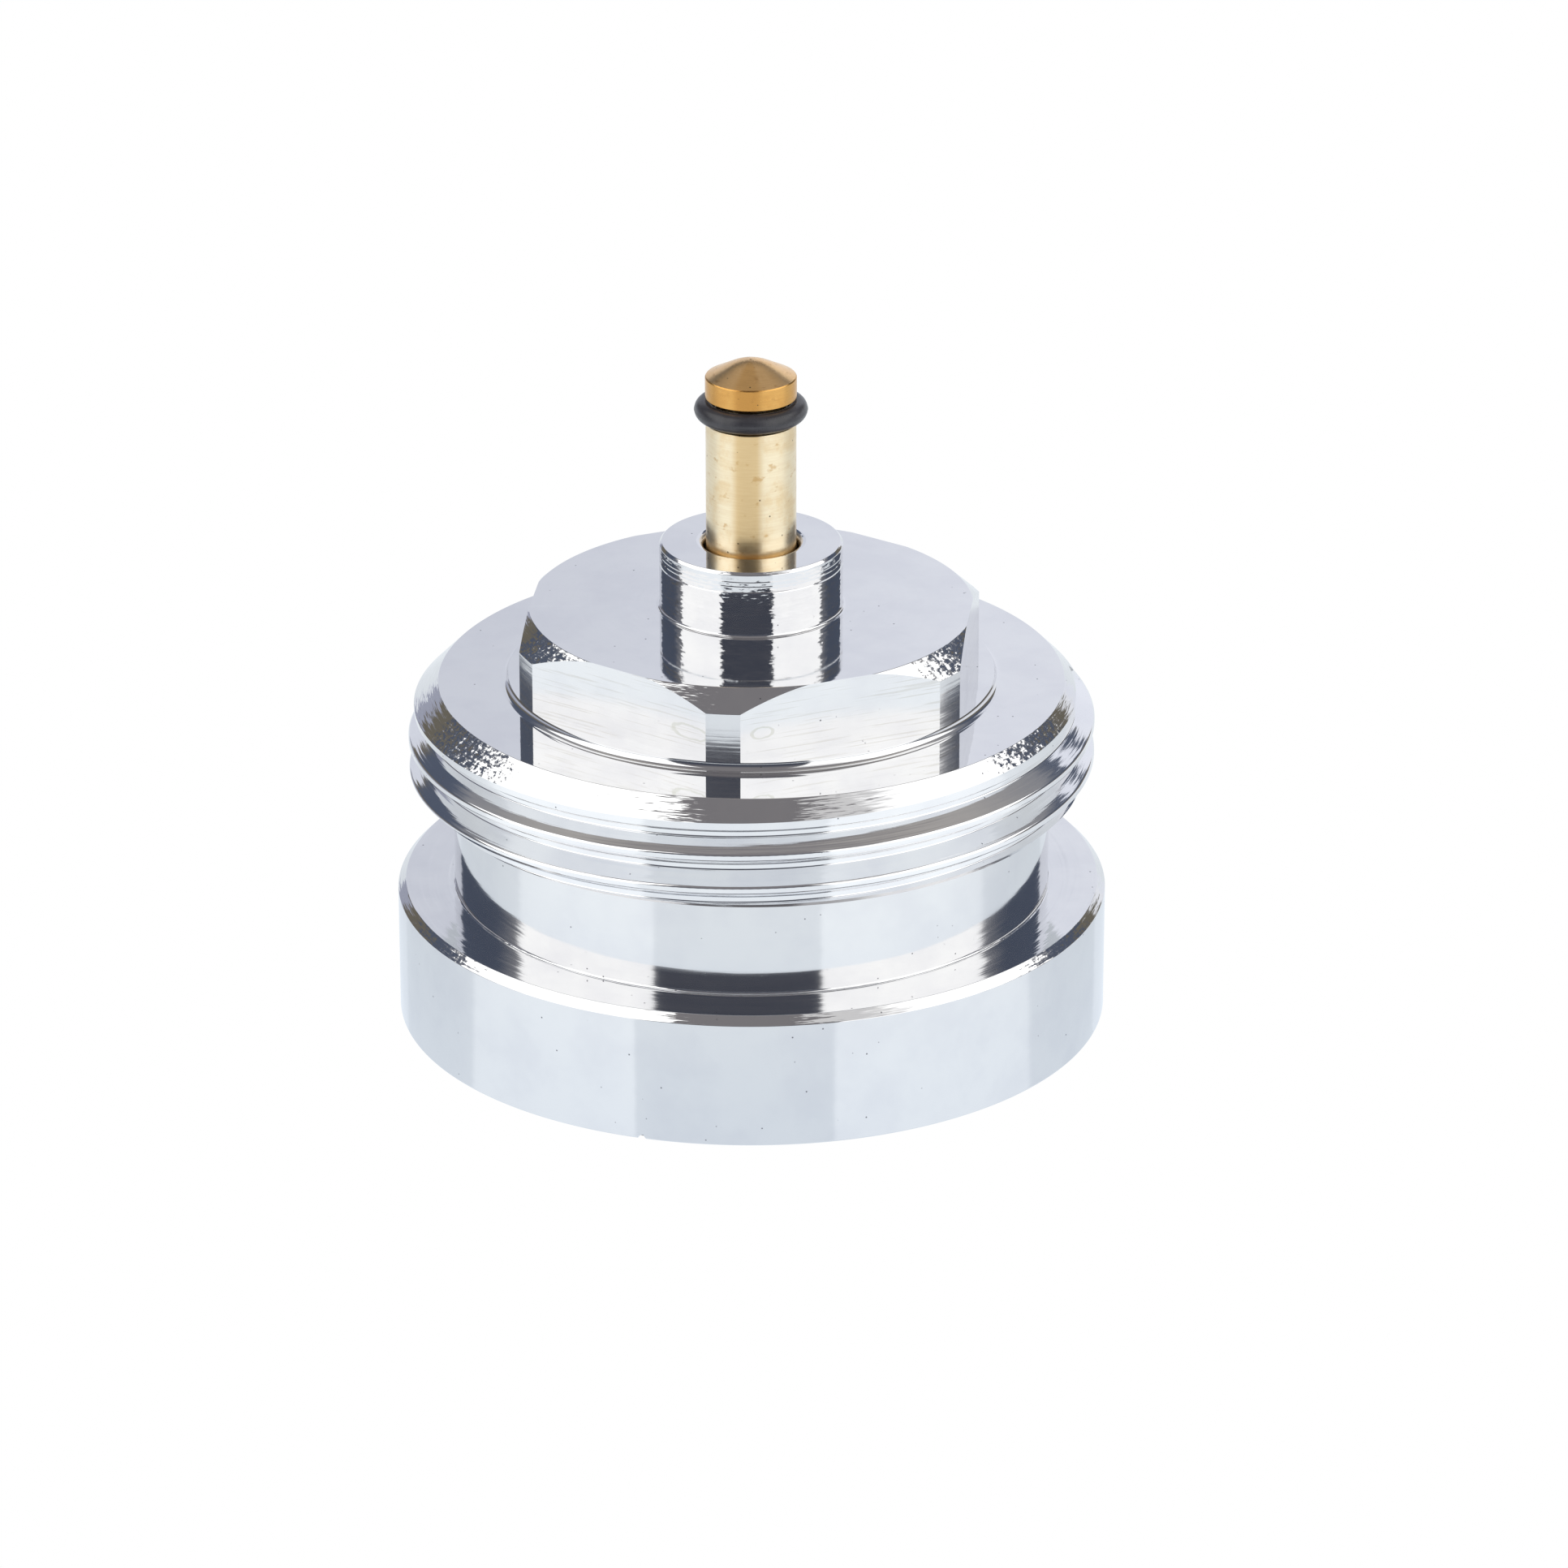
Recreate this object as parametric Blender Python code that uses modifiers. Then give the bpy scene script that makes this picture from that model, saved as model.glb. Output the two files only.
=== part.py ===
"""Screw-on adapter between a radiator valve and a thermostatic head.

A chrome-plated turned brass body screws onto the valve with the inner thread of its base ring, and
takes the head on its outer thread. A brass push pin slides through the body and carries the head's
stroke to the valve stem. An O-ring under the pin's head stops the pin on the collar, a riveted foot
at the other end presses on the stem, and a second O-ring in the bore holds the pin by friction.

Frame: +Z up along the pin, origin on the axis at the underside of the base ring.
Dimensions are in millimetres; MM turns them into metres.
"""

import math

import bmesh
import bpy
from mathutils import Matrix, Vector

MM = 0.001

# Roundness of the turned shapes
BODY_SEGMENTS = 60
PIN_SEGMENTS = 36
ARC_STEP = 22.5  # degrees of a small arc that one edge spans

# Threads: metric fine, flanks 60 degrees apart
THREAD_PITCH = 1.5
FLANK_SLOPE = math.tan(math.radians(30))  # axial run of a flank for each unit of radius
HEAD_THREAD_MAJOR = 30.0
HEAD_THREAD_CREST_RADIUS = 14.93  # nominal 15.0 less the usual clearance
HEAD_THREAD_ROOT_RADIUS = 14.08
HEAD_THREAD_FRONT_CREST = 13.05  # height of a crest at the front, -Y
VALVE_THREAD_MAJOR = 28.0
VALVE_THREAD_MINOR_RADIUS = 13.19
THREAD_CREST_FLAT = THREAD_PITCH / 8

# Base ring and neck
RING_RADIUS = 15.5
RING_HEIGHT = 5.92
RING_CHAMFER = 0.35
RING_FOOT_CHAMFER = 0.1
NECK_RADIUS = 13.0
NECK_CORNER_RADIUS = 0.1

# Threaded flange, with chamfers of 45 degrees
FLANGE_BOTTOM = 10.4
FLANGE_TOP = 15.2
FLANGE_RUNOUT_RADIUS = 14.0
FLANGE_FLAT_RADIUS = 13.6
FLANGE_RUNOUT_TOP = FLANGE_BOTTOM + HEAD_THREAD_CREST_RADIUS - FLANGE_RUNOUT_RADIUS
FLANGE_CHAMFER_BOTTOM = FLANGE_TOP - HEAD_THREAD_CREST_RADIUS + FLANGE_FLAT_RADIUS

# Hexagon
HEX_ACROSS_FLATS = 19.0
HEX_CORNER_RADIUS = 10.53  # the bar it is milled from
HEX_FILLET = 0.35
HEX_TOP = 18.6
HEX_CHAMFER_RADIUS = 9.62
HEX_CHAMFER_ANGLE = 42.0
HEX_CORNER_HEADING = -96.3  # degrees from +X to one corner

# Collar and guide bore
COLLAR_RADIUS = 3.97
COLLAR_TOP = 21.55
COLLAR_CHAMFER = 0.15
COLLAR_FILLET = 0.25
BORE_RADIUS = 2.05
BORE_MOUTH_RADIUS = 2.4
BORE_MOUTH_DEPTH = 0.3

# Hollow underside
VALVE_SOCKET_DEPTH = 4.8
VALVE_THREAD_END = 3.6
SOCKET_RELIEF_RADIUS = 14.1
SOCKET_MOUTH_RADIUS = 14.3
CAVITY_RADIUS = 11.2
CAVITY_TOP = 11.6

# Push pin
PIN_RADIUS = 1.95
PIN_HEAD_RADIUS = 1.97
PIN_HEAD_BOTTOM = 28.15
PIN_HEAD_RIM = 29.1
PIN_CONE_ANGLE = 22.5
PIN_TIP_RADIUS = 0.6
PIN_EDGE = 0.06
PIN_GROOVE_RADIUS = 1.5
PIN_GROOVE_BOTTOM = 27.05
PIN_TENON_RADIUS = 1.45
PIN_RIVET_RADIUS = 1.95
PIN_BOTTOM = 9.0

# Foot riveted on the pin's lower end
FOOT_RADIUS = 4.5
FOOT_THICKNESS = 1.6
FOOT_CHAMFER = 0.25
FIT_GAP = 0.05  # between pieces that touch

# O-rings
O_RING_CORD_RADIUS = 0.45
HEAD_O_RING_RADIUS = 2.0  # of the cord's centre line
HEAD_O_RING_HEIGHT = 27.6
GUIDE_O_RING_HEIGHT = 15.5
GUIDE_GROOVE_HALF_WIDTH = 0.6

CHROME = ((0.80, 0.82, 0.86), 0.08, 1.0)  # colour, roughness, metallic
PALE_BRASS = ((0.80, 0.64, 0.34), 0.25, 1.0)
DULL_BRASS = ((0.68, 0.50, 0.24), 0.35, 1.0)
RUBBER = ((0.045, 0.045, 0.055), 0.45, 0.0)


def clear_scene():
    for old in list(bpy.data.objects):
        bpy.data.objects.remove(old, do_unlink=True)


def new_collection(name):
    collection = bpy.data.collections.new(name)
    bpy.context.scene.collection.children.link(collection)
    return collection


def new_material(name, look):
    colour, roughness, metallic = look
    material = bpy.data.materials.new(name)
    material.use_nodes = True
    shader = material.node_tree.nodes["Principled BSDF"]
    shader.inputs["Base Color"].default_value = (*colour, 1)
    shader.inputs["Roughness"].default_value = roughness
    shader.inputs["Metallic"].default_value = metallic
    return material


def add_object(name, mesh, collection, look=None):
    thing = bpy.data.objects.new(name, mesh)
    collection.objects.link(thing)
    if look:
        mesh.materials.append(new_material(name + "_material", look))
    return thing


def arc(centre, radius, start, end):
    """Points (radius, height) of an arc from start to end, in degrees from the outward direction."""
    count = max(1, round(abs(end - start) / ARC_STEP))
    points = []
    for i in range(count + 1):
        angle = math.radians(start + (end - start) * i / count)
        points.append((centre[0] + radius * math.cos(angle), centre[1] + radius * math.sin(angle)))
    return points


def turned(name, profile, segments, closed, collection, look):
    """A profile of (radius, height) points turned about Z. A closed profile makes a ring."""
    mesh = bpy.data.meshes.new(name)
    points = [(radius * MM, 0, height * MM) for radius, height in profile]
    edges = [(i, i + 1) for i in range(len(points) - 1)]
    if closed:
        edges.append((len(points) - 1, 0))
    mesh.from_pydata(points, edges, [])
    thing = add_object(name, mesh, collection, look)
    screw = thing.modifiers.new("turn", "SCREW")
    screw.axis = "Z"
    screw.steps = segments
    screw.render_steps = segments
    screw.use_merge_vertices = True
    screw.merge_threshold = 1e-6
    screw.use_smooth_shade = False
    return thing


def shade_turned(thing):
    """Smooth round faces, with its sharp edges kept sharp."""
    graph = bpy.context.evaluated_depsgraph_get()
    mesh = bpy.data.meshes.new_from_object(thing.evaluated_get(graph))
    thing.modifiers.clear()
    thing.data = mesh
    mesh.shade_smooth()
    mesh.set_sharp_from_angle(angle=math.radians(30))


def cut(thing, cutter):
    boolean = thing.modifiers.new(cutter.name, "BOOLEAN")
    boolean.operation = "DIFFERENCE"
    boolean.solver = "EXACT"
    boolean.object = cutter


def hide_as_cutter(thing):
    thing.hide_render = True
    thing.display_type = "WIRE"
    return thing


def thread_cutter(name, inner, outer, start_height, end_height, start_heading, collection):
    """A helical bar. inner and outer are its (radius, half width) on the two sides of its section.

    Its corners lie half a step away from those of the turned faces, so that no edges coincide.
    """
    turns = (end_height - start_height) / THREAD_PITCH
    steps = math.ceil(turns * BODY_SEGMENTS)
    step_angle = 2 * math.pi / BODY_SEGMENTS
    start_height += THREAD_PITCH / BODY_SEGMENTS / 2
    corners = [(inner, -1), (outer, -1), (outer, 1), (inner, 1)]
    work = bmesh.new()
    section = []
    for (radius, half_width), side in corners:
        section.append(work.verts.new((radius * MM, 0, (start_height + side * half_width) * MM)))
    face = work.faces.new(section)
    to_start = Matrix.Rotation(math.radians(start_heading) + step_angle / 2, 3, "Z")
    bmesh.ops.rotate(work, cent=(0, 0, 0), matrix=to_start, verts=section)
    bmesh.ops.spin(
        work,
        geom=[face, *face.edges, *face.verts],
        cent=(0, 0, 0),
        axis=(0, 0, 1),
        dvec=(0, 0, THREAD_PITCH / BODY_SEGMENTS * MM),
        angle=steps * step_angle,
        steps=steps,
    )
    bmesh.ops.recalc_face_normals(work, faces=work.faces)
    mesh = bpy.data.meshes.new(name)
    work.to_mesh(mesh)
    work.free()
    return hide_as_cutter(add_object(name, mesh, collection))


def head_thread_cutter(collection):
    """The groove between the turns of the outer thread."""
    root_half_width = (
        (THREAD_PITCH - THREAD_CREST_FLAT) / 2
        - (HEAD_THREAD_MAJOR / 2 - HEAD_THREAD_ROOT_RADIUS) * FLANK_SLOPE
    )
    clear_radius = HEAD_THREAD_CREST_RADIUS + 0.12
    clear_half_width = root_half_width + (clear_radius - HEAD_THREAD_ROOT_RADIUS) * FLANK_SLOPE
    start = HEAD_THREAD_FRONT_CREST - 2.5 * THREAD_PITCH
    return thread_cutter(
        "head_thread_groove",
        (HEAD_THREAD_ROOT_RADIUS, root_half_width),
        (clear_radius, clear_half_width),
        start,
        FLANGE_TOP + THREAD_PITCH / 2,
        -90,
        collection,
    )


def valve_thread_cutter(collection):
    """The groove of the inner thread in the base ring."""
    root_half_width = THREAD_CREST_FLAT / 2
    clear_radius = VALVE_THREAD_MINOR_RADIUS - 0.22
    root_radius = VALVE_THREAD_MAJOR / 2
    clear_half_width = root_half_width + (root_radius - clear_radius) * FLANK_SLOPE
    return thread_cutter(
        "valve_thread_groove",
        (clear_radius, clear_half_width),
        (root_radius, root_half_width),
        -clear_half_width - 0.1,
        VALVE_SOCKET_DEPTH - clear_half_width - 0.05,
        0,
        collection,
    )


def flats_cutter(collection):
    """A sleeve with a hexagonal hole, which mills the six flats."""
    bottom = FLANGE_TOP + HEX_FILLET
    top = HEX_TOP + 1
    work = bmesh.new()
    centre = Matrix.Translation((0, 0, (bottom + top) / 2 * MM))
    bmesh.ops.create_cone(
        work, cap_ends=True, segments=24, radius1=12.5 * MM, radius2=12.5 * MM,
        depth=(top - bottom) * MM, matrix=centre,
    )
    sleeve = bpy.data.meshes.new("hex_flats")
    work.to_mesh(sleeve)
    work.free()
    thing = hide_as_cutter(add_object("hex_flats", sleeve, collection))
    corner = HEX_ACROSS_FLATS / 2 / math.cos(math.radians(30))
    work = bmesh.new()
    bmesh.ops.create_cone(
        work, cap_ends=True, segments=6, radius1=corner * MM, radius2=corner * MM,
        depth=(top - bottom + 2) * MM,
        matrix=centre @ Matrix.Rotation(math.radians(HEX_CORNER_HEADING - 90), 4, "Z"),
    )
    prism = bpy.data.meshes.new("hex_prism")
    work.to_mesh(prism)
    work.free()
    hole = hide_as_cutter(add_object("hex_prism", prism, collection))
    cut(thing, hole)
    return thing


def body_profile():
    """Down the outside from the collar to the ring, then up the inside to the bore's mouth."""
    hex_chamfer_drop = (HEX_CORNER_RADIUS - HEX_CHAMFER_RADIUS) * math.tan(
        math.radians(HEX_CHAMFER_ANGLE)
    )
    fillet_centre = (COLLAR_RADIUS + COLLAR_FILLET, HEX_TOP + COLLAR_FILLET)
    hex_fillet_centre = (HEX_CORNER_RADIUS + HEX_FILLET, FLANGE_TOP + HEX_FILLET)
    corner_centre = (NECK_RADIUS + NECK_CORNER_RADIUS, RING_HEIGHT + NECK_CORNER_RADIUS)
    groove_radius = PIN_RADIUS + FIT_GAP + 2 * O_RING_CORD_RADIUS + FIT_GAP
    return [
        (BORE_MOUTH_RADIUS, COLLAR_TOP),
        (COLLAR_RADIUS - COLLAR_CHAMFER, COLLAR_TOP),
        (COLLAR_RADIUS, COLLAR_TOP - COLLAR_CHAMFER),
        *arc(fillet_centre, COLLAR_FILLET, 180, 270),
        (HEX_CHAMFER_RADIUS, HEX_TOP),
        (HEX_CORNER_RADIUS, HEX_TOP - hex_chamfer_drop),
        *arc(hex_fillet_centre, HEX_FILLET, 180, 270),
        (FLANGE_FLAT_RADIUS, FLANGE_TOP),
        (HEAD_THREAD_CREST_RADIUS, FLANGE_CHAMFER_BOTTOM),
        (HEAD_THREAD_CREST_RADIUS, FLANGE_RUNOUT_TOP),
        (FLANGE_RUNOUT_RADIUS, FLANGE_BOTTOM),
        (NECK_RADIUS, FLANGE_BOTTOM),
        *arc(corner_centre, NECK_CORNER_RADIUS, 180, 270),
        (RING_RADIUS - RING_CHAMFER, RING_HEIGHT),
        (RING_RADIUS, RING_HEIGHT - RING_CHAMFER),
        (RING_RADIUS, RING_FOOT_CHAMFER),
        (RING_RADIUS - RING_FOOT_CHAMFER, 0),
        (SOCKET_MOUTH_RADIUS, 0),
        (VALVE_THREAD_MINOR_RADIUS, SOCKET_MOUTH_RADIUS - VALVE_THREAD_MINOR_RADIUS),
        (VALVE_THREAD_MINOR_RADIUS, VALVE_THREAD_END),
        (SOCKET_RELIEF_RADIUS, VALVE_THREAD_END),
        (SOCKET_RELIEF_RADIUS, VALVE_SOCKET_DEPTH),
        (CAVITY_RADIUS, VALVE_SOCKET_DEPTH),
        (CAVITY_RADIUS, CAVITY_TOP),
        (BORE_MOUTH_RADIUS, CAVITY_TOP),
        (BORE_RADIUS, CAVITY_TOP + BORE_MOUTH_DEPTH),
        (BORE_RADIUS, GUIDE_O_RING_HEIGHT - GUIDE_GROOVE_HALF_WIDTH),
        (groove_radius, GUIDE_O_RING_HEIGHT - GUIDE_GROOVE_HALF_WIDTH),
        (groove_radius, GUIDE_O_RING_HEIGHT + GUIDE_GROOVE_HALF_WIDTH),
        (BORE_RADIUS, GUIDE_O_RING_HEIGHT + GUIDE_GROOVE_HALF_WIDTH),
        (BORE_RADIUS, COLLAR_TOP - BORE_MOUTH_DEPTH),
    ]


def make_body(parts, cutters):
    body = turned("adapter_body", body_profile(), BODY_SEGMENTS, True, parts, CHROME)
    cut(body, flats_cutter(cutters))
    cut(body, head_thread_cutter(cutters))
    cut(body, valve_thread_cutter(cutters))
    shade_turned(body)
    return body


def pin_profile():
    """From the tip of the head down to the riveted end."""
    cone = math.radians(PIN_CONE_ANGLE)
    cone_rise = (PIN_HEAD_RADIUS - PIN_EDGE) * math.tan(cone)
    sharp_tip = PIN_HEAD_RIM + cone_rise
    tip_centre = (0, sharp_tip - PIN_TIP_RADIUS / math.cos(cone))
    rivet_rise = PIN_RIVET_RADIUS - PIN_TENON_RADIUS
    return [
        *arc(tip_centre, PIN_TIP_RADIUS, 90, 90 - PIN_CONE_ANGLE),
        (PIN_HEAD_RADIUS - PIN_EDGE, PIN_HEAD_RIM),
        (PIN_HEAD_RADIUS, PIN_HEAD_RIM - PIN_EDGE),
        (PIN_HEAD_RADIUS, PIN_HEAD_BOTTOM + PIN_EDGE),
        (PIN_HEAD_RADIUS - PIN_EDGE, PIN_HEAD_BOTTOM),
        (PIN_GROOVE_RADIUS, PIN_HEAD_BOTTOM),
        (PIN_GROOVE_RADIUS, PIN_GROOVE_BOTTOM),
        (PIN_RADIUS - PIN_EDGE, PIN_GROOVE_BOTTOM),
        (PIN_RADIUS, PIN_GROOVE_BOTTOM - PIN_EDGE),
        (PIN_RADIUS, PIN_BOTTOM + FOOT_THICKNESS + FIT_GAP),
        (PIN_TENON_RADIUS, PIN_BOTTOM + FOOT_THICKNESS + FIT_GAP),
        (PIN_TENON_RADIUS, PIN_BOTTOM + rivet_rise),
        (PIN_RIVET_RADIUS, PIN_BOTTOM),
        (0, PIN_BOTTOM),
    ]


def foot_profile():
    """A disc with a hole that is countersunk below for the rivet."""
    top = PIN_BOTTOM + FOOT_THICKNESS
    hole = PIN_TENON_RADIUS + FIT_GAP
    sink = PIN_RIVET_RADIUS + FIT_GAP * 2
    return [
        (hole, top),
        (FOOT_RADIUS - FOOT_CHAMFER, top),
        (FOOT_RADIUS, top - FOOT_CHAMFER),
        (FOOT_RADIUS, PIN_BOTTOM + FOOT_CHAMFER),
        (FOOT_RADIUS - FOOT_CHAMFER, PIN_BOTTOM),
        (sink, PIN_BOTTOM),
        (hole, PIN_BOTTOM + sink - hole),
    ]


def make_o_ring(name, radius, height, collection):
    bpy.ops.mesh.primitive_torus_add(
        major_segments=PIN_SEGMENTS,
        minor_segments=12,
        major_radius=radius * MM,
        minor_radius=O_RING_CORD_RADIUS * MM,
        location=(0, 0, height * MM),
    )
    ring = bpy.context.active_object
    ring.name = name
    ring.data.name = name
    ring.users_collection[0].objects.unlink(ring)
    collection.objects.link(ring)
    ring.data.materials.append(new_material(name + "_material", RUBBER))
    ring.data.shade_smooth()
    return ring


def make_pin(collection):
    pin = turned("push_pin", pin_profile(), PIN_SEGMENTS, False, collection, PALE_BRASS)
    shade_turned(pin)
    return pin


def make_foot(collection):
    foot = turned("pressure_foot", foot_profile(), PIN_SEGMENTS, True, collection, DULL_BRASS)
    shade_turned(foot)
    return foot


def hold_on_axis(moving, collection):
    """An empty on the pin's axis at the collar's top, which carries everything that slides."""
    axis = bpy.data.objects.new("pin_axis", None)
    axis.location = Vector((0, 0, COLLAR_TOP * MM))
    collection.objects.link(axis)
    bpy.context.view_layer.update()
    for thing in moving:
        thing.parent = axis
        thing.matrix_parent_inverse = axis.matrix_world.inverted()


def main():
    clear_scene()
    parts = new_collection("radiator_valve_adapter")
    cutters = new_collection("cutters")
    make_body(parts, cutters)
    make_o_ring(
        "guide_o_ring", PIN_RADIUS + FIT_GAP + O_RING_CORD_RADIUS, GUIDE_O_RING_HEIGHT, parts
    )
    moving = [
        make_pin(parts),
        make_o_ring("head_o_ring", HEAD_O_RING_RADIUS, HEAD_O_RING_HEIGHT, parts),
        make_foot(parts),
    ]
    hold_on_axis(moving, parts)


main()
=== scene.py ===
"""Looks of the radiator valve adapter: fine meshes, chrome, brass and rubber, and the studio around it.

Lengths are in millimetres unless a name says otherwise; MM turns them into metres.
"""

import math

import bmesh
import bpy
import numpy as np
from mathutils import Matrix, Vector


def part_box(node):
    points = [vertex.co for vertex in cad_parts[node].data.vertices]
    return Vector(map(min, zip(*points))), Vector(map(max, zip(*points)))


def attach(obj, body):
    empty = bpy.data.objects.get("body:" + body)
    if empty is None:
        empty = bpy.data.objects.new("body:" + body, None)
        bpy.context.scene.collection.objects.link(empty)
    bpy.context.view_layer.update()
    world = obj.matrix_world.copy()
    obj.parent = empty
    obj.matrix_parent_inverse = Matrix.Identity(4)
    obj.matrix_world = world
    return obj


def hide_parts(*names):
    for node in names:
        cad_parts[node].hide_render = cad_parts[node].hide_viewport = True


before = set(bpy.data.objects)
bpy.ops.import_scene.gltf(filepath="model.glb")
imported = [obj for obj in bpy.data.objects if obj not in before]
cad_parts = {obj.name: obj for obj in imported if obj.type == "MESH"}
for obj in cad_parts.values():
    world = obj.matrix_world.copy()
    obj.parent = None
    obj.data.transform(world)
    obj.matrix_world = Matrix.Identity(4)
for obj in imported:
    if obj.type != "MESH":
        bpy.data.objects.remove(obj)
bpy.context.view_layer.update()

MM = 0.001

# ---------------------------------------------------------------- dimensions, from the frame
_, body_high = (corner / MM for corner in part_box("adapter_body"))
pin_low, pin_high = (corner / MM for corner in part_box("push_pin"))
foot_low, foot_high = (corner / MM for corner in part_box("pressure_foot"))
head_ring_low, head_ring_high = (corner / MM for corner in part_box("head_o_ring"))
guide_ring_low, guide_ring_high = (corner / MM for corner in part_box("guide_o_ring"))

BODY_SEGMENTS = 256
PIN_SEGMENTS = 128
CORD_SEGMENTS = 48
ARC_STEP = 15.0  # degrees of a rounded corner that one edge spans
FIT_GAP = 0.05  # play between two turned parts

RING_RADIUS = body_high.x
RING_HEIGHT = 5.92
RING_CHAMFER = 0.35
NECK_RADIUS = 13.0

FLANGE_BOTTOM = 10.4
FLANGE_TOP = 15.2
FLANGE_FLAT_RADIUS = 13.6
FLANGE_RUNOUT_RADIUS = 14.0

HEX_APOTHEM = 9.5
HEX_CORNER_RADIUS = 10.57
HEX_CORNER_HEADING = -96.3  # degrees
HEX_FILLET = 0.35
HEX_TOP = 18.6
HEX_CHAMFER_RADIUS = 9.62
HEX_CHAMFER_ANGLE = 42.0  # degrees

COLLAR_TOP = body_high.z
COLLAR_RADIUS = 3.97
COLLAR_CHAMFER = 0.12
COLLAR_FILLET = 0.14

BORE_RADIUS = 2.05
BORE_ROUNDING = 0.33
BORE_FOOT_RADIUS = BORE_RADIUS + 0.35
BORE_FOOT_HEIGHT = 0.3
GUIDE_GROOVE_WIDTH = 1.2

SOCKET_DEPTH = 4.8
SOCKET_MOUTH_RADIUS = 14.3
SOCKET_MINOR_RADIUS = 13.19
SOCKET_MAJOR_RADIUS = 14.0
SOCKET_RELIEF_RADIUS = SOCKET_MAJOR_RADIUS + 0.1
SOCKET_THREAD_TOP = 3.6
CAVITY_RADIUS = 11.2
CAVITY_TOP = 11.6
CAVITY_ROUNDING = 0.4

PIN_RIM = 29.1  # height of the cone's lower edge
PIN_TIP_RADIUS = 0.45
PIN_TIP_ROUNDING = 2.0
PIN_RADIUS = 1.95
PIN_GROOVE_RADIUS = 1.5
PIN_GROOVE_GAP = 0.1  # above and below the O-ring
TENON_RADIUS = 1.45
RIVET_RADIUS = 1.93
RIVET_HEIGHT = 0.5

FOOT_BORE_RADIUS = 1.5
FOOT_CHAMFER = 0.25
FOOT_SINK_RADIUS = 2.05
FOOT_SINK_DEPTH = 0.55

THREAD_PITCH = 1.5
THREAD_MAJOR_RADIUS = 15.0  # of a full thread, without play
FLANK_ANGLE = math.radians(30)
FLANK_SLOPE = math.tan(FLANK_ANGLE)
CREST_FLAT = THREAD_PITCH / 8
CREST_RADIUS = 14.93
CREST_ROUNDING = 0.2
FRONT_CREST = 13.05  # height of the middle crest, in front
ROOT_RADIUS = 14.08
ROOT_ROUNDING = 0.1
THREAD_ZONE_RADIUS = 13.9  # all of the outer thread lies further out


# ---------------------------------------------------------------- profiles
def rounded(corners, closed):
    """Points of a (radius, height, rounding) outline, with its rounded corners as arcs."""
    points = []
    arcs = []
    last = len(corners) - 1
    for i, (radius, height, rounding) in enumerate(corners):
        corner = Vector((radius, height))
        if not rounding or (not closed and i in (0, last)):
            points.append(corner)
            continue
        before = (Vector(corners[i - 1][:2]) - corner).normalized()
        after = (Vector(corners[(i + 1) % len(corners)][:2]) - corner).normalized()
        angle = before.angle(after)
        centre = corner + (before + after).normalized() * rounding / math.sin(angle / 2)
        start = corner + before * rounding / math.tan(angle / 2) - centre
        turn = start.angle_signed(corner + after * rounding / math.tan(angle / 2) - centre)
        count = max(2, math.ceil(abs(math.degrees(turn)) / ARC_STEP))
        for k in range(count + 1):
            spin = Matrix.Rotation(-turn * k / count, 2)
            points.append(centre + spin @ start)
        arcs.append((centre, rounding))
    return points, arcs


def turned_mesh(name, corners, segments, closed):
    """The outline turned about Z, as a mesh in metres, and its arcs."""
    points, arcs = rounded(corners, closed)
    outline = bpy.data.meshes.new(name + "_outline")
    edges = [(i, i + 1) for i in range(len(points) - 1)]
    if closed:
        edges.append((len(points) - 1, 0))
    outline.from_pydata([(p.x * MM, 0, p.y * MM) for p in points], edges, [])
    maker = bpy.data.objects.new(name + "_maker", outline)
    bpy.context.scene.collection.objects.link(maker)
    screw = maker.modifiers.new("turn", "SCREW")
    screw.axis = "Z"
    screw.steps = segments
    screw.render_steps = segments
    screw.use_merge_vertices = True
    screw.merge_threshold = 1e-7
    return maker, arcs


def baked(maker, name):
    """The maker's evaluated mesh; the maker goes."""
    graph = bpy.context.evaluated_depsgraph_get()
    mesh = bpy.data.meshes.new_from_object(maker.evaluated_get(graph))
    mesh.name = name
    bpy.data.objects.remove(maker)
    return mesh


def scratch_round(radius, height, depth):
    """Three corners of a fine groove that the tool left round a wall, from its top down."""
    half_width = 0.045
    return [
        (radius, height + half_width, 0),
        (radius - depth, height, 0),
        (radius, height - half_width, 0),
    ]


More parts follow.
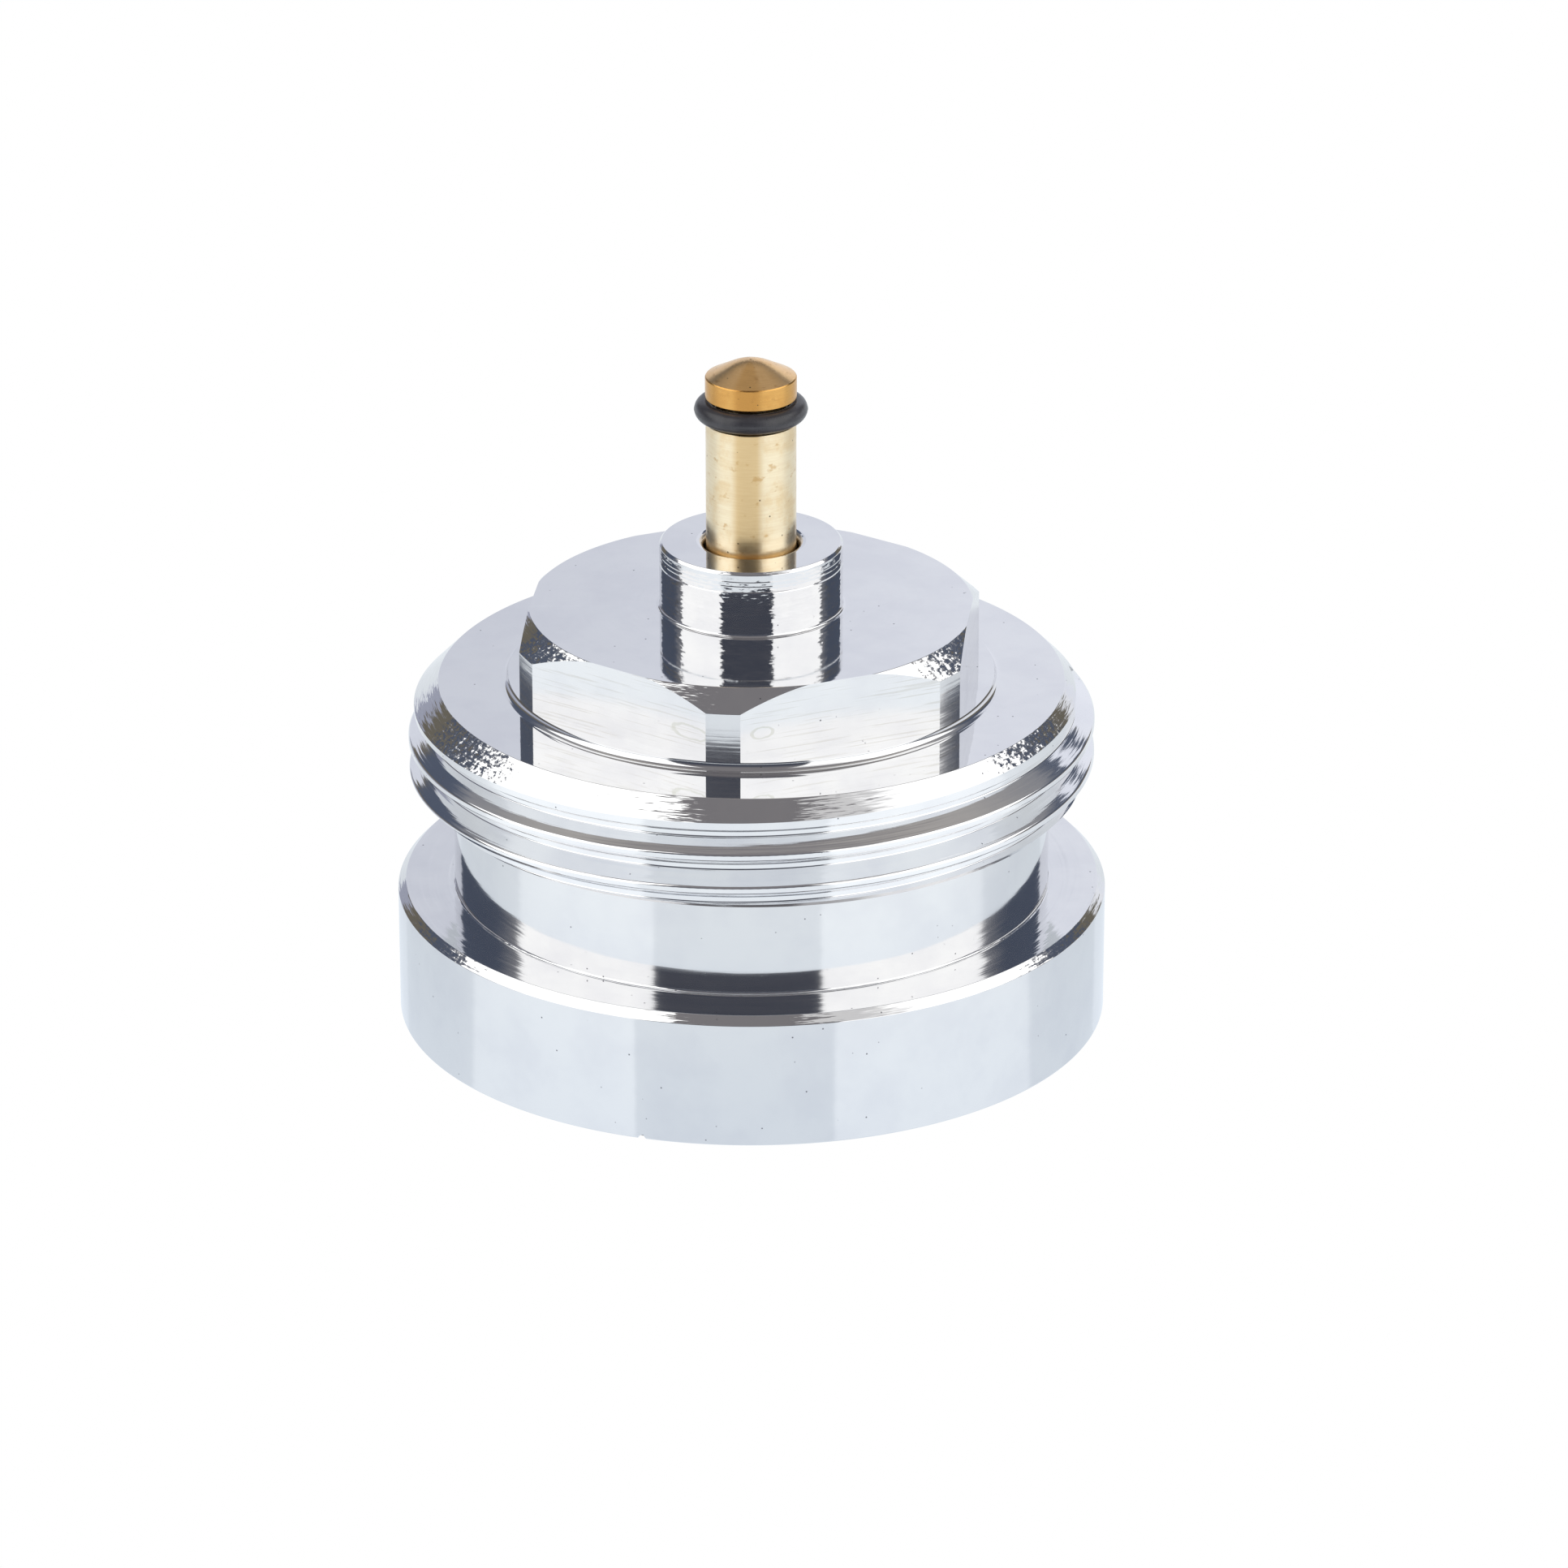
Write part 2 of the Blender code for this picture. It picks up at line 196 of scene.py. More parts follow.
def body_corners():
    """Down the outside from the collar to the ring, then up the inside to the bore's mouth.

    As in the other outlines, each corner has its radius, its height and its rounding.
    """
    hex_drop = (HEX_CORNER_RADIUS - HEX_CHAMFER_RADIUS) * math.tan(math.radians(HEX_CHAMFER_ANGLE))
    flange_drop = CREST_RADIUS - FLANGE_FLAT_RADIUS
    runout_rise = CREST_RADIUS - FLANGE_RUNOUT_RADIUS
    socket_chamfer = SOCKET_MOUTH_RADIUS - SOCKET_MINOR_RADIUS
    guide_bottom = (guide_ring_low.z + guide_ring_high.z - GUIDE_GROOVE_WIDTH) / 2
    guide_top = guide_bottom + GUIDE_GROOVE_WIDTH
    guide_radius = guide_ring_high.x + FIT_GAP
    return [
        (BORE_RADIUS, COLLAR_TOP, BORE_ROUNDING),
        (COLLAR_RADIUS - COLLAR_CHAMFER, COLLAR_TOP, 0.03),
        (COLLAR_RADIUS, COLLAR_TOP - COLLAR_CHAMFER, 0.05),
        *scratch_round(COLLAR_RADIUS, COLLAR_TOP - 0.45, 0.004),
        *scratch_round(COLLAR_RADIUS, COLLAR_TOP - 0.65, 0.004),
        *scratch_round(COLLAR_RADIUS, COLLAR_TOP - 0.92, 0.018),
        (COLLAR_RADIUS, HEX_TOP, COLLAR_FILLET),
        (HEX_CHAMFER_RADIUS, HEX_TOP, 0.05),
        (HEX_CORNER_RADIUS, HEX_TOP - hex_drop, 0.03),
        (HEX_CORNER_RADIUS, FLANGE_TOP, HEX_FILLET),
        (FLANGE_FLAT_RADIUS, FLANGE_TOP, 0.04),
        (CREST_RADIUS, FLANGE_TOP - flange_drop, 0),
        (CREST_RADIUS, FLANGE_BOTTOM + runout_rise, 0),
        (FLANGE_RUNOUT_RADIUS, FLANGE_BOTTOM, 0.03),
        (NECK_RADIUS, FLANGE_BOTTOM, 0.2),
        (NECK_RADIUS, RING_HEIGHT, 0.12),
        (RING_RADIUS - RING_CHAMFER, RING_HEIGHT, 0.04),
        (RING_RADIUS, RING_HEIGHT - RING_CHAMFER, 0.04),
        (RING_RADIUS, 0, 0.08),
        (SOCKET_MOUTH_RADIUS, 0, 0.05),
        (SOCKET_MINOR_RADIUS, socket_chamfer, 0),
        (SOCKET_MINOR_RADIUS, SOCKET_THREAD_TOP, 0),
        (SOCKET_RELIEF_RADIUS, SOCKET_THREAD_TOP, 0),
        (SOCKET_RELIEF_RADIUS, SOCKET_DEPTH, 0.1),
        (CAVITY_RADIUS, SOCKET_DEPTH, 0.1),
        (CAVITY_RADIUS, CAVITY_TOP, CAVITY_ROUNDING),
        (BORE_FOOT_RADIUS, CAVITY_TOP, 0.03),
        (BORE_RADIUS, CAVITY_TOP + BORE_FOOT_HEIGHT, 0),
        (BORE_RADIUS, guide_bottom, 0),
        (guide_radius, guide_bottom, 0),
        (guide_radius, guide_top, 0),
        (BORE_RADIUS, guide_top, 0),
    ]


def pin_corners():
    """From the tip of the coned head down to the spread end in the foot."""
    groove_top = head_ring_high.z + PIN_GROOVE_GAP
    groove_bottom = head_ring_low.z - PIN_GROOVE_GAP
    shoulder = foot_high.z + FIT_GAP
    return [
        (0, pin_high.z, 0),
        (PIN_TIP_RADIUS, pin_high.z, PIN_TIP_ROUNDING),
        (pin_high.x - 0.04, PIN_RIM, 0.05),
        (pin_high.x, PIN_RIM - 0.05, 0.03),
        (pin_high.x, groove_top, 0.04),
        (PIN_GROOVE_RADIUS, groove_top, 0.05),
        (PIN_GROOVE_RADIUS, groove_bottom, 0.05),
        (PIN_RADIUS, groove_bottom, 0.06),
        (PIN_RADIUS, shoulder, 0.04),
        (TENON_RADIUS, shoulder, 0.04),
        (TENON_RADIUS, pin_low.z + RIVET_HEIGHT, 0.04),
        (RIVET_RADIUS, pin_low.z, 0.04),
        (0, pin_low.z, 0),
    ]


def foot_corners():
    """From the top of the foot's bore, down the outside, to the sink that takes the pin's spread end."""
    return [
        (FOOT_BORE_RADIUS, foot_high.z, 0.03),
        (foot_high.x - FOOT_CHAMFER, foot_high.z, 0.05),
        (foot_high.x, foot_high.z - FOOT_CHAMFER, 0.05),
        (foot_high.x, foot_low.z + FOOT_CHAMFER, 0.05),
        (foot_high.x - FOOT_CHAMFER, foot_low.z, 0.05),
        (FOOT_SINK_RADIUS, foot_low.z, 0.03),
        (FOOT_BORE_RADIUS, foot_low.z + FOOT_SINK_DEPTH, 0.03),
    ]


# ---------------------------------------------------------------- cutters for the body
def helix(name, section, start_height, turns, heading):
    """A helical bar. section lists its (radius, offset in height) points, and heading is in degrees."""
    work = bmesh.new()
    corners = [work.verts.new((p[0] * MM, 0, (start_height + p[1]) * MM)) for p in section]
    face = work.faces.new(corners)
    # Half a step on, so that no corner of the bar falls on a corner of the body.
    half_step = math.pi / BODY_SEGMENTS
    turn = Matrix.Rotation(math.radians(heading) + half_step, 3, "Z")
    rise = Vector((0, 0, THREAD_PITCH / BODY_SEGMENTS / 2 * MM))
    bmesh.ops.rotate(work, cent=(0, 0, 0), matrix=turn, verts=corners)
    bmesh.ops.translate(work, vec=rise, verts=corners)
    steps = math.ceil(turns * BODY_SEGMENTS)
    bmesh.ops.spin(
        work, geom=[face, *face.edges, *face.verts], cent=(0, 0, 0), axis=(0, 0, 1),
        dvec=rise * 2, angle=steps * 2 * half_step, steps=steps,
    )
    bmesh.ops.recalc_face_normals(work, faces=work.faces)
    return as_object(work, name)


def as_object(work, name):
    """The mesh in work as an object of the scene."""
    mesh = bpy.data.meshes.new(name)
    work.to_mesh(mesh)
    work.free()
    thing = bpy.data.objects.new(name, mesh)
    bpy.context.scene.collection.objects.link(thing)
    return thing


def groove_section():
    """The outer groove's section, and its arcs. Past the flanks it spreads, which rounds the crests."""
    half_root = (THREAD_PITCH - CREST_FLAT) / 2 - (THREAD_MAJOR_RADIUS - ROOT_RADIUS) * FLANK_SLOPE
    edge = CREST_RADIUS - 0.005
    half_edge = half_root + (edge - ROOT_RADIUS) * FLANK_SLOPE
    half_lip = half_edge + 0.13
    half = [
        (ROOT_RADIUS, half_root, ROOT_ROUNDING),
        (edge, half_edge, CREST_ROUNDING),
        (edge + 0.025, half_lip, 0),
        (CREST_RADIUS + 0.12, half_lip, 0),
    ]
    mirrored = [(radius, -offset, rounding) for radius, offset, rounding in reversed(half)]
    return rounded([*mirrored, *half], True)


def groove_between_crests():
    """The whole outer groove, from below the flange to above it."""
    start = FRONT_CREST - 2.5 * THREAD_PITCH
    turns = (FLANGE_TOP - start) / THREAD_PITCH + 0.5
    return helix("outer_groove", groove_section()[0], start, turns, -90)


def lead_in_of_thread():
    """What the lead-in takes off the top crest: a bar whose inner wall closes in to the root.

    Its turn is counted from the front, to the right.
    """
    start = math.radians(-167)
    end = math.radians(100)
    front_radius = 14.39
    closing = 0.185  # mm for each radian
    outside = CREST_RADIUS + 0.4
    above = FLANGE_TOP + 0.3
    steps = BODY_SEGMENTS * 3 // 4
    work = bmesh.new()
    rows = []
    for i in range(steps + 1):
        turn = start + (end - start) * i / steps
        inner = front_radius - closing * turn
        below = FRONT_CREST + THREAD_PITCH * (0.5 + turn / (2 * math.pi))
        section = [(inner, below), (outside, below), (outside, above), (inner, above)]
        row = []
        for radius, height in section:
            place = Vector((radius * math.sin(turn), -radius * math.cos(turn), height))
            row.append(work.verts.new(place * MM))
        rows.append(row)
    for row, following in zip(rows, rows[1:]):
        for k in range(4):
            work.faces.new((row[k], row[k - 1], following[k - 1], following[k]))
    work.faces.new(rows[0])
    work.faces.new(rows[-1])
    bmesh.ops.recalc_face_normals(work, faces=work.faces)
    return as_object(work, "lead_in")


def groove_in_socket():
    """The inner thread's groove, from below the mouth up into the relief."""
    overlap = 0.1
    inside = SOCKET_MINOR_RADIUS - 0.22  # clear of the wall
    half_outside = CREST_FLAT / 2
    half_inside = half_outside + (SOCKET_MAJOR_RADIUS - inside) * FLANK_SLOPE
    start = -half_inside - overlap
    end = SOCKET_DEPTH - half_inside - FIT_GAP
    section = [
        (inside, -half_inside),
        (SOCKET_MAJOR_RADIUS, -half_outside),
        (SOCKET_MAJOR_RADIUS, half_outside),
        (inside, half_inside),
    ]
    return helix("inner_groove", section, start, (end - start) / THREAD_PITCH, 0)


def prism(name, radius, sides, bottom, top, heading=0.0):
    """An upright prism. radius is that of its corners."""
    work = bmesh.new()
    place = Matrix.Translation((0, 0, (bottom + top) / 2 * MM))
    bmesh.ops.create_cone(
        work, cap_ends=True, segments=sides, radius1=radius * MM, radius2=radius * MM,
        depth=(top - bottom) * MM, matrix=place @ Matrix.Rotation(math.radians(heading), 4, "Z"),
    )
    return as_object(work, name)


def subtract(thing, cutter):
    """Has thing lose what lies in cutter, once it is baked."""
    boolean = thing.modifiers.new(cutter.name, "BOOLEAN")
    boolean.operation = "DIFFERENCE"
    boolean.solver = "EXACT"
    boolean.object = cutter


def sleeve_around_hexagon():
    """What milling takes away: a sleeve whose hole is the hexagon. Returns it and its hole."""
    bottom = FLANGE_TOP + HEX_FILLET
    outside = 12.5  # well clear of the hexagon's corners
    corner = HEX_APOTHEM / math.cos(math.radians(30))
    sleeve = prism("sleeve", outside, 24, bottom, HEX_TOP + 1)
    hole = prism("hexagon", corner, 6, bottom - 1, HEX_TOP + 2, HEX_CORNER_HEADING - 90)
    subtract(sleeve, hole)
    return sleeve, hole


def nick_in_edge():
    """A small knock in the ring's lower edge."""
    heading = math.radians(-107.4)
    lean = math.radians(70)
    radius = 0.22
    half_length = 0.3
    sunk = 0.02
    nick = prism("nick", radius, 5, -half_length, half_length)
    knock = Matrix.Rotation(heading, 4, "Z") @ Matrix.Translation((RING_RADIUS * MM, 0, -sunk * MM))
    nick.data.transform(knock @ Matrix.Rotation(lean, 4, "Y"))
    return nick


# ---------------------------------------------------------------- exact shading normals
FINISHES = ["top", "wall", "collar", "neck", "rim", "chamfer", "thread", "ring_top", "flat", "bare", "bore"]


def finish_of(radial, rise, radius, height, on_flat):
    """Name of the finish that the surface with this slope has at this place."""
    if on_flat:
        return "flat"
    level = 0.98  # rise of a surface that is as good as level
    underneath = height < 0.02
    facing_in = radial < -0.5 and height < CAVITY_TOP + CAVITY_ROUNDING
    facing_down = rise < -0.5 and radius < THREAD_ZONE_RADIUS
    if (underneath or facing_in or facing_down) and radius < RING_RADIUS - 0.2:
        return "bare"
    if radius < BORE_RADIUS + 0.5 * BORE_ROUNDING:
        return "bore"
    off_chamfer = abs(radius + height - FLANGE_FLAT_RADIUS - FLANGE_TOP)
    on_flange_chamfer = rise > 0.5 and off_chamfer < 0.02
    if FLANGE_BOTTOM < height < FLANGE_TOP and radius > THREAD_ZONE_RADIUS and not on_flange_chamfer:
        return "thread"
    at_fillet = FLANGE_TOP < height < FLANGE_TOP + HEX_FILLET and rise < level
    if at_fillet and radius < HEX_CORNER_RADIUS + 2 * HEX_FILLET:
        return "neck"
    if radius < COLLAR_RADIUS + 2 * COLLAR_FILLET and rise < level:
        return "collar"
    if 0.2 < rise < level:
        return "chamfer"
    if rise > 0.5:
        return "ring_top" if height < RING_HEIGHT + 0.1 else "top"
    if height > FLANGE_TOP:
        return "rim"
    return "neck" if height > RING_HEIGHT else "wall"


def groove_offset(place):
    """Height of each place above the middle of the nearest groove, -0.5 to 0.5 pitch."""
    heading = np.arctan2(place[:, 1], place[:, 0]) + math.pi / 2
    lag = place[:, 2] - FRONT_CREST - THREAD_PITCH * (heading / (2 * math.pi) + 0.5)
    return (lag / THREAD_PITCH - np.round(lag / THREAD_PITCH)) * THREAD_PITCH


def arc_normals(across, upward, arcs, radial, rise):
    """The arc's normals at these section places, or None if they aren't on one arc."""
    for middle, rounding in arcs:
        offset_r = across - middle.x
        offset_z = upward - middle.y
        reach = np.hypot(offset_r, offset_z)
        if np.all(np.abs(reach - rounding) < 0.004):
            sign = 1 if radial * offset_r.mean() + rise * offset_z.mean() > 0 else -1
            return sign * offset_r / reach, sign * offset_z / reach
    return None


def shade_exactly(mesh, arcs, is_body, finish):
    """Gives each face's corners the normals of the turned, helical or flat surface it stands for.

    finish(radial, rise, radius, height, on_flat) returns the index of the face's material.
    """
    count = len(mesh.loops)
    loop_vertex = np.zeros(count, np.int32)
    mesh.loops.foreach_get("vertex_index", loop_vertex)
    places = np.zeros(len(mesh.vertices) * 3, np.float32)
    mesh.vertices.foreach_get("co", places)
    places = places.reshape(-1, 3).astype(float) / MM
    corner_place = places[loop_vertex]
    radius = np.hypot(corner_place[:, 0], corner_place[:, 1])
    outward = corner_place[:, :2] / np.maximum(radius, 1e-6)[:, None]
    offset = groove_offset(corner_place)
    groove_arcs = groove_section()[1]
    normals = np.zeros((count, 3))
    finishes = np.zeros(len(mesh.polygons), np.int32)
    for face in mesh.polygons:
        loops = slice(face.loop_start, face.loop_start + face.loop_total)
        normal = np.array(face.normal)
        centre = np.array(face.center) / MM
        centre_radius = math.hypot(centre[0], centre[1])
        rise = normal[2]
        radial = math.copysign(math.hypot(normal[0], normal[1]), normal[:2] @ centre[:2])
        on_flat = is_body and abs(rise) < 0.01 and abs(normal @ centre - HEX_APOTHEM) < 0.01
        if on_flat:
            normals[loops] = normal
        else:
            found = None
            helical = False
            on_edge = THREAD_ZONE_RADIUS < centre_radius < THREAD_MAJOR_RADIUS
            if is_body and on_edge and FLANGE_BOTTOM < centre[2] < FLANGE_TOP:
                found = arc_normals(radius[loops], offset[loops], groove_arcs, radial, rise)
                helical = found is not None or abs(abs(rise) - math.cos(FLANK_ANGLE)) < 0.01
            if found is None and not helical and abs(rise) < 0.9999:
                found = arc_normals(radius[loops], corner_place[loops, 2], arcs, radial, rise)
            across, upward = found or (radial, rise)
            twist = -upward * THREAD_PITCH / (2 * math.pi * centre_radius) if helical else 0.0
            normals[loops, 0] = across * outward[loops, 0] - twist * outward[loops, 1]
            normals[loops, 1] = across * outward[loops, 1] + twist * outward[loops, 0]
            normals[loops, 2] = upward
        finishes[face.index] = finish(radial, rise, centre_radius, centre[2], on_flat)
    mesh.polygons.foreach_set("material_index", finishes)
    mesh.polygons.foreach_set("use_smooth", np.ones(len(mesh.polygons), bool))
    normals /= np.linalg.norm(normals, axis=1)[:, None]
    mesh.normals_split_custom_set(normals.tolist())
    mesh.update()


def place_piece(name, mesh, body, node, materials):
    """Puts the piece in the scene, on its body and in place of its node."""
    piece = bpy.data.objects.new(name, mesh)
    bpy.context.scene.collection.objects.link(piece)
    for material in materials:
        mesh.materials.append(material)
    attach(piece, body)
    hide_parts(node)


# ---------------------------------------------------------------- node helpers
class Graph:
    """Short names for building a node tree. Its methods return output sockets."""

    def __init__(self, tree):
        self.tree = tree

    def node(self, kind, inputs=(), **settings):
        made = self.tree.nodes.new(kind)
        for key, value in settings.items():
            setattr(made, key, value)
        for key, value in dict(inputs).items():
            self.feed(made.inputs[key], value)
        return made

    def feed(self, socket, value):
        if isinstance(value, bpy.types.NodeSocket):
            self.tree.links.new(value, socket)
        else:
            socket.default_value = value

    def math(self, operation, a, b=0.0):
        return self.node("ShaderNodeMath", {0: a, 1: b}, operation=operation).outputs[0]

    def add(self, a, b):
        return self.math("ADD", a, b)

    def times(self, a, b):
        return self.math("MULTIPLY", a, b)

    def reach(self, a, b):
        """Distance from the middle of a place that is a to one side and b to the other."""
        return self.math("SQRT", self.add(self.times(a, a), self.times(b, b)))

    def vector(self, operation, a, b=(0, 0, 0), scale=1.0):
        """Only SCALE uses scale, and only it has no use for b."""
        made = self.node("ShaderNodeVectorMath", operation=operation)
        self.feed(made.inputs[0], a)
        if operation == "SCALE":
            self.feed(made.inputs["Scale"], scale)
        else:
            self.feed(made.inputs[1], b)
        return made.outputs["Value" if operation == "DOT_PRODUCT" else "Vector"]

    def split(self, vector):
        return self.node("ShaderNodeSeparateXYZ", {0: vector}).outputs

    def join(self, x, y, z):
        return self.node("ShaderNodeCombineXYZ", {0: x, 1: y, 2: z}).outputs[0]

    def ramp(self, value, low, high, start=0.0, end=1.0):
        """A smooth step from start to end as value goes from low to high."""
        made = self.node("ShaderNodeMapRange", interpolation_type="SMOOTHSTEP")
        for key, given in zip((0, 1, 2, 3, 4), (value, low, high, start, end)):
            self.feed(made.inputs[key], given)
        return made.outputs[0]

    def mix(self, factor, a, b):
        """Colour a where factor is 0, and colour b where it is 1."""
        made = self.node("ShaderNodeMix", data_type="RGBA", clamp_factor=True)
        self.feed(made.inputs["Factor"], factor)
        for key, value in (("A", a), ("B", b)):
            socket = next(s for s in made.inputs if s.name == key and s.type == "RGBA")
            self.feed(socket, (*value, 1) if isinstance(value, tuple) else value)
        return next(s for s in made.outputs if s.type == "RGBA")

    def noise(self, vector, scale, detail=2.0, roughness=0.5):
        """Outputs of a noise texture: first a value from 0 to 1, then a colour."""
        inputs = {"Vector": vector, "Scale": scale, "Detail": detail, "Roughness": roughness}
        return self.node("ShaderNodeTexNoise", inputs, noise_dimensions="3D").outputs

    def cells(self, vector, scale):
        """Outputs of a Voronoi texture, among them Distance and Color."""
        return self.node("ShaderNodeTexVoronoi", {"Vector": vector, "Scale": scale}).outputs


def new_graph(name):
    material = bpy.data.materials.new(name)
    material.use_nodes = True
    return material, Graph(material.node_tree)


def feed_shader(graph, colour, metallic, rough, normal):
    """Feeds the material's shader with its four inputs."""
    inputs = graph.tree.nodes["Principled BSDF"].inputs
    graph.feed(inputs["Base Color"], colour)
    graph.feed(inputs["Metallic"], metallic)
    graph.feed(inputs["Roughness"], rough)
    graph.feed(inputs["Normal"], normal)


# Where marks lie goes by the radius, and by the height at this share. The sign keeps the two from
# cancelling out on cones that face up.
HEIGHT_SHARE = -0.83


def turned_places(graph):
    """Object place in mm, its heading as (across, along) from -1 to 1, its radius and its height."""
    place = graph.node("ShaderNodeTexCoord").outputs["Object"]
    place = graph.vector("SCALE", place, scale=1 / MM)
    x, y, height = graph.split(place)
    radius = graph.reach(x, y)
    divisor = graph.math("MAXIMUM", radius, 0.05)
    across = graph.math("DIVIDE", x, divisor)
    along = graph.math("DIVIDE", y, divisor)
    return place, (across, along), radius, height


def round_the_axis(graph, turned, size, length, height):
    """A place that changes by 1 for size mm along the profile, and slowly round the axis."""
    _, (across, along), radius, _ = turned
    run = graph.add(graph.times(radius, 1 / size), graph.times(height, HEIGHT_SHARE / size))
    return graph.join(graph.times(across, 1 / length), graph.times(along, 1 / length), run)


def tool_marks(graph, turned, spacing, length, helical=False):
    """Noise drawn out round the axis: spacing in mm between marks, length about 1 for long marks."""
    height = turned[3]
    if helical:
        x, y, _ = graph.split(turned[0])
        # The heading is counted from the front, so its jump is at the back.
        heading = graph.math("ARCTAN2", x, graph.times(y, -1))
        height = graph.add(height, graph.times(heading, -THREAD_PITCH / (2 * math.pi)))
    return graph.noise(round_the_axis(graph, turned, spacing, length, height), 1.0, 3.0, 0.6)[0]


def drawn_out(graph, turned, size, length):
    """A place in grains that are size mm across and length mm long round a rim of this part."""
    return round_the_axis(graph, turned, size, length / NECK_RADIUS, turned[3])


def milling_marks(graph, turned, spacing):
    """Noise drawn out level, as a mill leaves it on the flats."""
    x, y, height = graph.split(turned[0])
    place = graph.join(graph.times(x, 0.4), graph.times(y, 0.4), graph.times(height, 1 / spacing))
    return graph.noise(place, 0.6, 3.0, 0.6)[0]


def shaken(graph, vector, noise, amount):
    """The vector, moved every way by noise (a colour)."""
    shake = graph.vector("SUBTRACT", noise, (0.5, 0.5, 0.5))
    return graph.vector("ADD", vector, graph.vector("SCALE", shake, scale=amount))


def tilted_normal(graph, marks, marks_tilt, grit, grit_tilt):
    """The normal, tilted along the profile by marks (0 to 1) and every way by grit (a colour)."""
    geometry = graph.node("ShaderNodeNewGeometry").outputs
    normal = geometry["Normal"]
    round_axis = graph.vector("NORMALIZE", graph.vector("CROSS_PRODUCT", (0, 0, 1), geometry["Position"]))
    along_profile = graph.vector("CROSS_PRODUCT", normal, round_axis)
    tilt = graph.times(graph.add(marks, -0.5), marks_tilt)
    moved = graph.vector("ADD", normal, graph.vector("SCALE", along_profile, scale=tilt))
    return graph.vector("NORMALIZE", shaken(graph, moved, grit, grit_tilt))


# ---------------------------------------------------------------- materials
CHROME = (0.75, 0.75, 0.755)
CHROME_SHADE = (0.71, 0.71, 0.725)
CHROME_PIT = (0.10, 0.10, 0.12)
BRASS_PIT = (0.10, 0.06, 0.03)
HAIRLINE = (0.52, 0.50, 0.45)
STAIN = (0.50, 0.51, 0.44)

# Each dried drop's middle (x, height) and half its size (across, upward).
DROPS = (((-2.55, 16.7), (0.75, 0.3)), ((0.5, 16.75), (0.45, 0.25)))


def crumpled(graph, turned):
    """1 at the left and right of a rim's front, where handling has dented it, and 0 elsewhere."""
    across = turned[1][0]
    left = graph.times(graph.ramp(across, -0.96, -0.92), graph.ramp(across, -0.74, -0.64, 1.0, 0.0))
    right = graph.times(graph.ramp(across, 0.66, 0.76), graph.ramp(across, 0.93, 0.97, 1.0, 0.0))
    front = graph.ramp(turned[1][1], -0.1, 0.1, 1.0, 0.0)
    less_on_ring = graph.ramp(turned[3], RING_HEIGHT, FLANGE_BOTTOM, 0.35, 1.0)
    return graph.times(graph.times(graph.add(left, right), front), less_on_ring)


def dented(graph, turned, normal):
    """The normal, shaken by small dents where the rim is crumpled."""
    dents = graph.noise(turned[0], 1 / 0.22, 2.0, 0.6)[1]
    depth = graph.times(crumpled(graph, turned), 0.6)
    return graph.vector("NORMALIZE", shaken(graph, normal, dents, depth))


def chrome(name, spacing, tilt, length, grit_size, grit_tilt, roughness, tint=(1, 1, 1), marks="turned"):
    """Chrome that shows the tool's marks and the grit of its polish.

    Marks are spacing mm apart and tilt the surface by tilt; length is about 1 for long ones. They are
    turned, threaded, milled or, on rims that were knocked, dented. Grit is grit_size mm across.
    """
    material, graph = new_graph(name)
    turned = turned_places(graph)
    place = turned[0]
    if marks == "milled":
        tool = milling_marks(graph, turned, spacing)
    else:
        tool = tool_marks(graph, turned, spacing, length, marks == "threaded")
    grit = graph.noise(drawn_out(graph, turned, grit_size, 12 * grit_size), 1.0, 2.0, 0.6)[1]
    cloud = graph.noise(place, 0.35, 3.0, 0.6)[0]
    light = tuple(a * b for a, b in zip(CHROME, tint))
    shade = tuple(a * b for a, b in zip(CHROME_SHADE, tint))
    colour = graph.mix(graph.ramp(cloud, 0.35, 0.7), light, shade)
    rough = graph.add(roughness, graph.times(graph.ramp(cloud, 0.45, 0.8), 0.03))
    if marks == "milled":
        hairline = graph.ramp(milling_marks(graph, turned, 0.06), 0.55, 0.66, 0.0, 0.40)
        colour = graph.mix(hairline, colour, HAIRLINE)
        colour = graph.mix(graph.times(water_stain(graph, place), 0.45), colour, STAIN)
    pit = pits(graph, place, 1.6, 0.05, 0.35)
    colour = graph.mix(graph.times(pit, 0.8), colour, CHROME_PIT)
    rough = graph.add(rough, graph.times(pit, 0.3))
    normal = tilted_normal(graph, tool, tilt, grit, grit_tilt)
    if marks == "dented":
        rough = graph.add(rough, graph.times(crumpled(graph, turned), 0.06))
        normal = dented(graph, turned, normal)
    feed_shader(graph, colour, 1.0, rough, normal)
    return material


def pits(graph, place, density, size, share):
    """1 in tiny spots, 0 elsewhere: density in cells per mm, size as a radius in mm, share of cells."""
    cell = graph.cells(place, density)
    spot = graph.ramp(cell["Distance"], 0.5 * size * density, size * density, 1.0, 0.0)
    chosen = graph.ramp(graph.split(cell["Color"])[0], 1 - share, 1 - share + 0.02)
    return graph.times(spot, chosen)


def water_stain(graph, place):
    """1 along two dried drops' rims, on the flats beside the front corner."""
    x, y, height = graph.split(place)
    wobble = graph.times(graph.add(graph.noise(place, 2.5)[0], -0.5), 0.6)
    rims = []
    for (middle_x, middle_height), (half_width, half_height) in DROPS:
        across = graph.times(graph.add(x, -middle_x), 1 / half_width)
        upward = graph.times(graph.add(height, -middle_height), 1 / half_height)
        reach = graph.add(graph.reach(across, upward), wobble)
        off_rim = graph.math("ABSOLUTE", graph.add(reach, -1.0))
        rims.append(graph.ramp(off_rim, 0.08, 0.22, 1.0, 0.0))
    in_front = graph.ramp(y, -1.0, 0.0, 1.0, 0.0)
    return graph.times(graph.math("MAXIMUM", *rims), in_front)


